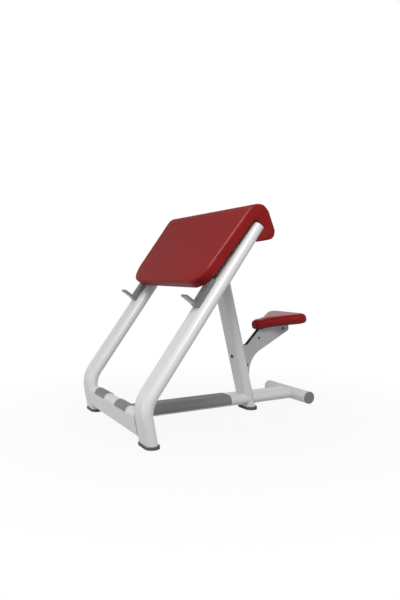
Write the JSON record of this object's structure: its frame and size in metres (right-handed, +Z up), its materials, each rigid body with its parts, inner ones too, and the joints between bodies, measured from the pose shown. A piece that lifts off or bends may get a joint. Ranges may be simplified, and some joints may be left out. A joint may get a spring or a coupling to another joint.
{
  "type": "preacher curl bench",
  "caption": "Preacher curl bench with bent tube legs, a sloping padded arm rest with a rolled top, bar hooks, a rear post and a small tilted seat",
  "frame": {"origin": "on the floor, below the middle of the bench's bounding box", "axes": "+Z up; +Y from the front legs towards the seat; +X to the bench's own side seen nearest in the picture; the bench is symmetric about the YZ plane"},
  "size_m": [0.78, 1.0041, 0.9489],
  "materials": {
    "white_coat": "satin powder coat",
    "grey_coat": "satin powder coat",
    "dark_coat": "satin powder coat",
    "dark_plastic": "fine-grained moulded plastic",
    "black_rubber": "matt moulded rubber",
    "red_upholstery": "leatherette with a soft sheen",
    "plywood": "unfinished",
    "steel": "zinc plated"
  },
  "bodies": {
    "root": {"left_leg_tube": "white_coat", "right_leg_tube": "white_coat", "left_leg_cap": "white_coat", "right_leg_cap": "white_coat", "front_crossbar": "white_coat", "base_beam": "white_coat", "rear_post": "white_coat", "post_cap": "white_coat", "tail_beam": "white_coat", "tail_tube": "white_coat", "upper_cross_tube": "white_coat", "left_crossbar_spigot": "white_coat", "right_crossbar_spigot": "white_coat", "tail_spigot": "white_coat", "left_seat_plate": "grey_coat", "right_seat_plate": "grey_coat", "anchor_block": "grey_coat", "rear_spacer": "grey_coat", "seat_mount_plate": "grey_coat", "left_bar_hook": "dark_coat", "right_bar_hook": "dark_coat", "left_crossbar_guard": "dark_plastic", "right_crossbar_guard": "dark_plastic", "beam_cover": "dark_plastic", "left_tail_cap": "dark_plastic", "right_tail_cap": "dark_plastic", "leg_plugs": "dark_plastic", "plate_plugs": "dark_plastic", "left_leg_foot": "black_rubber", "right_leg_foot": "black_rubber", "rear_foot": "black_rubber", "pad_spacers": "black_rubber", "arm_pad": "red_upholstery", "seat_pad": "red_upholstery", "arm_pad_board": "plywood", "seat_board": "plywood", "arm_pad_bolts": "steel", "arm_pad_tee_nuts": "steel", "seat_bolts": "steel", "seat_tee_nuts": "steel", "joint_screws": "steel", "hook_screws": "steel", "bracket_bolts": "steel", "bracket_nuts": "steel", "post_bolt": "steel"}
  },
  "joints": []
}
